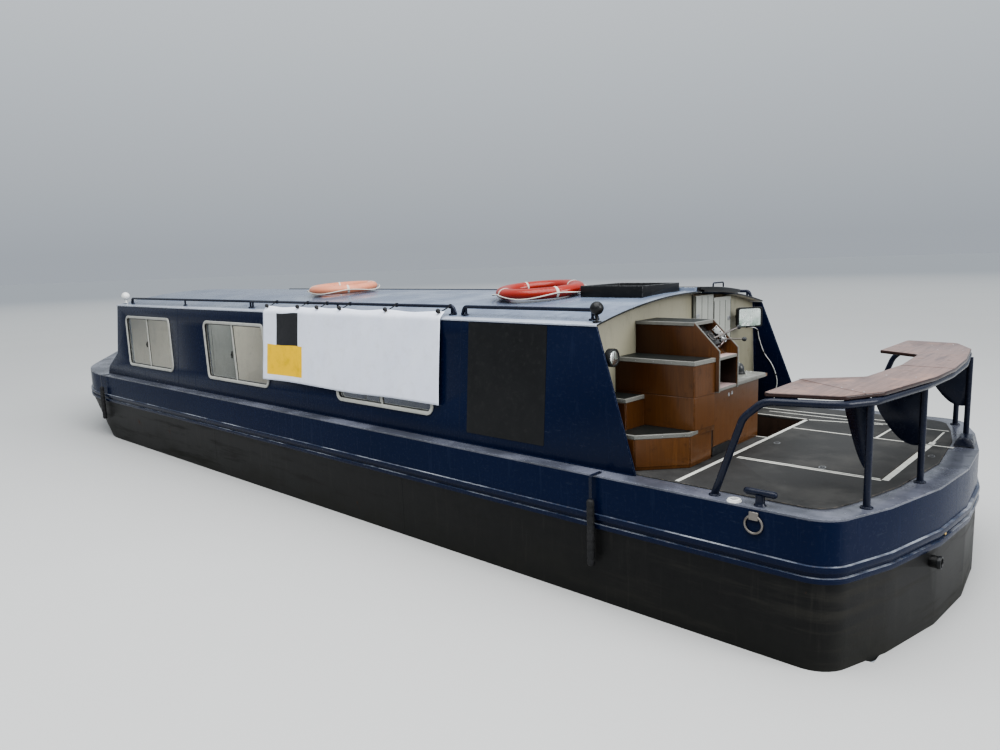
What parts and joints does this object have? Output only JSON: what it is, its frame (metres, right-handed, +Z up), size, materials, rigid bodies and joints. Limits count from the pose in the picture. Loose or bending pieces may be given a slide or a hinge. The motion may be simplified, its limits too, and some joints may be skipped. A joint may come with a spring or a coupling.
{
  "type": "narrowboat",
  "caption": "Steel canal trip boat with a long low cabin, raked side windows, an open stern deck with helm lockers and a taffrail seat, propeller and rudder.",
  "frame": {"origin": "on the ground under the middle of the hull, on the centreline", "axes": "+X towards the bow, +Y to port, +Z up"},
  "size_m": [12.4361, 3.148, 2.5092],
  "materials": {
    "hull_black": "satin bitumen black, scuffed",
    "navy_paint": "gloss navy blue",
    "deck_paint": "worn satin grey",
    "roof_paint": "gloss pale blue grey",
    "cream_paint": "satin cream",
    "pale_grey_paint": "satin pale grey",
    "varnished_wood": "varnished plywood",
    "seat_wood": "worn varnished plywood",
    "black_plastic": "matt black",
    "black_paint": "gloss black",
    "non_slip_board": "gritty dark grey",
    "window_glass": "clear glass in a bright metal frame",
    "rail_paint": "satin grey",
    "engine_iron": "painted",
    "panel_metal": "satin",
    "propeller_bronze": "dull bronze",
    "ring_plastic": "orange-red",
    "fender_rubber": "matt",
    "white_plastic": "white",
    "banner_cloth": "plain white cloth",
    "bench_cloth": "dark blue cloth"
  },
  "bodies": {
    "boat": {"hull": "hull_black", "cabin_side_port": "navy_paint", "cabin_side_starboard": "navy_paint", "fore_bulkhead": "navy_paint", "taffrail": "navy_paint", "stern_fairlead": "navy_paint", "deck": "deck_paint", "roof": "roof_paint", "aft_bulkhead": "cream_paint", "companion_steps": "varnished_wood", "step_locker": "varnished_wood", "helm_console": "varnished_wood", "side_locker": "varnished_wood", "cabin_floor": "varnished_wood", "taffrail_seat": "seat_wood", "roof_tray": "black_plastic", "compass": "black_plastic", "corner_lamp_aft": "black_plastic", "work_lamp": "black_plastic", "wing_lamp": "black_plastic", "mooring_stud_port": "black_paint", "mooring_stud_starboard": "black_paint", "mooring_stud_bow": "black_paint", "mooring_ring_port": "black_paint", "mooring_ring_starboard": "black_paint", "stern_boards": "non_slip_board", "engine_board": "non_slip_board", "window_port_fore": "window_glass", "window_port_middle": "window_glass", "window_port_aft": "window_glass", "window_starboard_fore": "window_glass", "window_starboard_middle": "window_glass", "window_starboard_aft": "window_glass", "handrail_port_aft": "rail_paint", "handrail_port_middle": "rail_paint", "handrail_port_fore": "rail_paint", "handrail_starboard_aft": "rail_paint", "handrail_starboard_middle": "rail_paint", "handrail_starboard_fore": "rail_paint", "engine": "engine_iron", "helm_controls": "panel_metal", "life_ring_aft": "ring_plastic", "life_ring_fore": "ring_plastic", "fender_port_fore": "fender_rubber", "fender_port_aft": "fender_rubber", "fender_starboard_fore": "fender_rubber", "fender_starboard_aft": "fender_rubber", "filler_cap": "white_plastic", "corner_lamp_fore": "white_plastic", "lamp_lead": "white_plastic", "banner": "banner_cloth", "bench_port": "bench_cloth", "bench_starboard": "bench_cloth"},
    "propeller": {"propeller": "propeller_bronze"},
    "rudder": {"rudder": "hull_black"},
    "aft_door_port": {"aft_door_port": "pale_grey_paint"},
    "aft_door_starboard": {"aft_door_starboard": "pale_grey_paint"},
    "hatch": {"hatch": "black_plastic"},
    "fore_door_port": {"fore_door_port": "pale_grey_paint"},
    "fore_door_starboard": {"fore_door_starboard": "pale_grey_paint"}
  },
  "joints": [
    {"name": "propeller_spin", "type": "hinge", "parent": "boat", "child": "propeller", "pos_m": [-5.33, 0, 0.225], "axis": [1, 0, 0], "continuous": true},
    {"name": "rudder_turn", "type": "hinge", "parent": "boat", "child": "rudder", "pos_m": [-5.64, 0, 0.3], "axis": [0, 0, 1], "range_deg": [-35, 35]},
    {"name": "aft_door_port_hinge", "type": "hinge", "parent": "boat", "child": "aft_door_port", "pos_m": [-4.242, -0.122, 1.5], "axis": [0, 0, -1], "range_deg": [0, 90]},
    {"name": "aft_door_starboard_hinge", "type": "hinge", "parent": "boat", "child": "aft_door_starboard", "pos_m": [-4.242, -0.743, 1.5], "axis": [0, 0, 1], "range_deg": [0, 90]},
    {"name": "hatch_slide", "type": "slide", "parent": "boat", "child": "hatch", "axis": [1, 0, 0], "range_m": [0, 0.6]},
    {"name": "fore_door_port_hinge", "type": "hinge", "parent": "boat", "child": "fore_door_port", "pos_m": [3.632, 0.338, 1.6], "axis": [0, 0, 1], "range_deg": [0, 90]},
    {"name": "fore_door_starboard_hinge", "type": "hinge", "parent": "boat", "child": "fore_door_starboard", "pos_m": [3.632, -0.338, 1.6], "axis": [0, 0, -1], "range_deg": [0, 90]}
  ]
}
